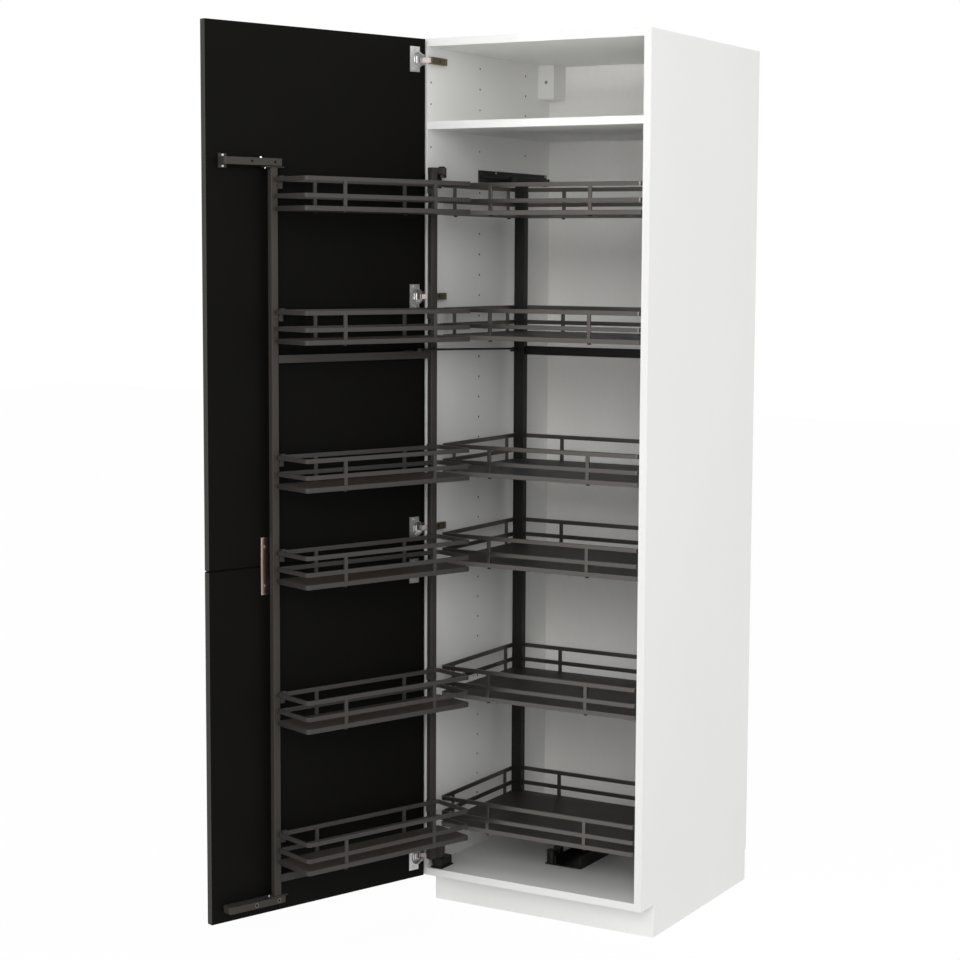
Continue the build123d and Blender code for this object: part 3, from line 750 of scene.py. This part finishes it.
def make_rack_screws():
    """Screws that hold the basket hooks to the posts, the slider bolts and the top guide's screws."""
    hooks_across, hook_face, hook_rise = (37, 474), 16, 58
    hook_screws = repeat(make_screw(radius=3.2, height=1.6),
                         [at_rack(x, hook_face, level + hook_rise) for level in tray_levels
                          for x in hooks_across])
    settle(hook_screws, "basket_hook_screws", door_rail_steel, "swinging_rack")
    slider_across, slider_middle, upper_slider, lower_slider = 498, 8, 1766, 126
    slider_bolts = repeat(make_bolt(radius=3.0, height=2.2),
                          [rack_place @ under(slider_across, slider_middle, upper_slider),
                           on_rack(slider_across, slider_middle, lower_slider)])
    settle(slider_bolts, "slider_bolts", zinc_steel, "swinging_rack")
    top_guide_face, top_guide_ends, top_guide_level = -278, (232, 482), 1780.5
    top_screws = repeat(make_screw(radius=2.6, height=1.4),
                        [on_left_panel(top_guide_face, y, top_guide_level) for y in top_guide_ends])
    settle(top_screws, "top_guide_screws", zinc_steel, "carcass")


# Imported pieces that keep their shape, or have their edges rounded by a width in mm
for name in ("left_side_panel", "right_side_panel"):
    coat(nodes[name], white_melamine)
for name in ("top_panel", "bottom_panel", "fixed_shelf", "front_plinth", "side_plinths"):
    ease(name, 0.6, white_melamine)
coat(nodes["back_panel"], white_hardboard)
for name in ("shelf_fixings", "hinge_plates"):
    coat(nodes[name], zinc_steel)
ease("hanging_brackets", 1.5, white_plastic)
make_door("upper_door")
make_door("lower_door")
for name, width in (("cabinet_legs", 1.0), ("plinth_clips", 0.6), ("floor_channel", 0.8), ("floor_stops", 1.0),
                    ("inner_top_guide", 0.6), ("rack_floor_pivot", 0.8), ("rack_top_pivot", 0.8)):
    ease(name, width, black_plastic)
for name, width in (("top_door_guide", 1.0), ("bottom_door_guide", 1.0), ("rack_cross_bars", 1.0),
                    ("rack_sliders", 0.4), ("rack_pivot_arms", 0.6), ("basket_hooks", 0.4)):
    ease(name, width, post_steel)
for name, width in (("tie_rod", 0.4), ("inner_foot", 1.0), ("inner_back_bar", 1.0), ("inner_post", 0.8)):
    ease(name, width, black_steel)
make_joining_plate()
for number in range(1, 7):
    ease("door_basket_%d" % number, 0.8, door_rail_steel)
    ease("inner_basket_%d" % number, 0.8, inner_rail_steel_painted_light)
    ease("door_tray_%d" % number, 1.0, door_tray_board)
    ease("inner_tray_%d" % number, 1.0, inner_tray_board_painted_shade_and_light)
round_post("outer_post", 478.06)
round_post("hinge_post", 33)
make_hinges()
make_hinge_rims()
make_hinge_barrels()
make_hinge_straps()
make_hinge_adjusters()
make_door_screws()
make_guide_ribs()
make_tray_feet()
make_rack_screws()


def seen_directly(tree):
    """1 for what the camera sees, straight, in a mirror or through glass, and 0 for what only lights."""
    path = put(tree, "ShaderNodeLightPath").outputs
    seen = compute(tree, "MAXIMUM", path["Is Camera Ray"], path["Is Glossy Ray"])
    return compute(tree, "MAXIMUM", seen, path["Is Transmission Ray"])


def make_floor():
    """Pale studio floor: white to the camera, and still takes the soft shadow of the cabinet."""
    deselect()
    bpy.ops.mesh.primitive_plane_add(size=30)
    floor = bpy.context.object
    floor.name = "studio_floor"
    material = bpy.data.materials.new("studio_floor_paint")
    material.use_nodes = True
    tree = material.node_tree
    tree.nodes.clear()
    share = compute(tree, "MULTIPLY", seen_directly(tree), 0.95)
    paint = put(tree, "ShaderNodeBsdfDiffuse", {"Color": linear("#F2F2F2")}).outputs["BSDF"]
    white = put(tree, "ShaderNodeEmission", {"Color": linear("#FFFFFF"), "Strength": 1.015}).outputs["Emission"]
    blend = put(tree, "ShaderNodeMixShader", {0: share, 1: paint, 2: white}).outputs["Shader"]
    put(tree, "ShaderNodeOutputMaterial", {"Surface": blend})
    coat(floor, material)


def make_world():
    """Soft studio light, stronger from the front, and white where it is seen behind the cabinet."""
    brightest_way = (-0.1, -0.97, 0.22)
    world = bpy.data.worlds.new("studio")
    bpy.context.scene.world = world
    world.use_nodes = True
    tree = world.node_tree
    tree.nodes.clear()
    way = put(tree, "ShaderNodeTexCoord").outputs["Generated"]
    towards = put(tree, "ShaderNodeVectorMath", {0: way, 1: brightest_way}, operation="DOT_PRODUCT")
    soft = scaled(tree, towards.outputs["Value"], 0.3, 0.72, start=-1.0)
    strength = put(tree, "ShaderNodeMix", {"Factor": seen_directly(tree), "A": soft, "B": 1.0})
    sky = put(tree, "ShaderNodeBackground", {"Color": linear("#FFFFFF"),
                                             "Strength": strength.outputs["Result"]})
    put(tree, "ShaderNodeOutputWorld", {"Surface": sky.outputs["Background"]})


def make_lamp(name, place, aim, size, power, spread=180):
    """Square softbox, its place and aim in metres."""
    lamp = bpy.data.lights.new(name, "AREA")
    lamp.shape = "SQUARE"
    lamp.size = size
    lamp.energy = power
    lamp.spread = math.radians(spread)
    holder = bpy.data.objects.new(name, lamp)
    bpy.context.scene.collection.objects.link(holder)
    holder.location = place
    holder.rotation_mode = "QUATERNION"
    holder.rotation_quaternion = (Vector(aim) - Vector(place)).to_track_quat("-Z", "Y")


def make_camera(place, turn, down, roll):
    """Camera at the photograph's angle, for a square picture."""
    data = bpy.data.cameras.new("camera")
    camera = bpy.data.objects.new("camera", data)
    bpy.context.scene.collection.objects.link(camera)
    bpy.context.scene.camera = camera
    data.sensor_width = 36
    data.lens = 77.261
    data.shift_x = -0.07
    data.shift_y = -0.02
    camera.matrix_world = (Matrix.Translation(place) @ Matrix.Rotation(math.radians(turn), 4, "Z")
                           @ Matrix.Rotation(math.radians(90 - down), 4, "X")
                           @ Matrix.Rotation(math.radians(roll), 4, "Z"))


make_floor()
make_world()
make_lamp("front_softbox", place=(1.9, -4.5, 2.5), aim=(0, 0.1, 1.5), size=2.4, power=98)
make_lamp("upper_fill", place=(0.7, -3.2, 1.3), aim=(0, 0.3, 2.03), size=0.4, power=0.1, spread=8)
make_lamp("right_softbox", place=(4.5, 0.2, 2.4), aim=(0, 0.2, 1.0), size=3.0, power=35)
make_camera(place=(2.3334, -4.2102, 1.5746), turn=28.973, down=5.644, roll=0.445)
bpy.context.scene.view_settings.view_transform = "Standard"
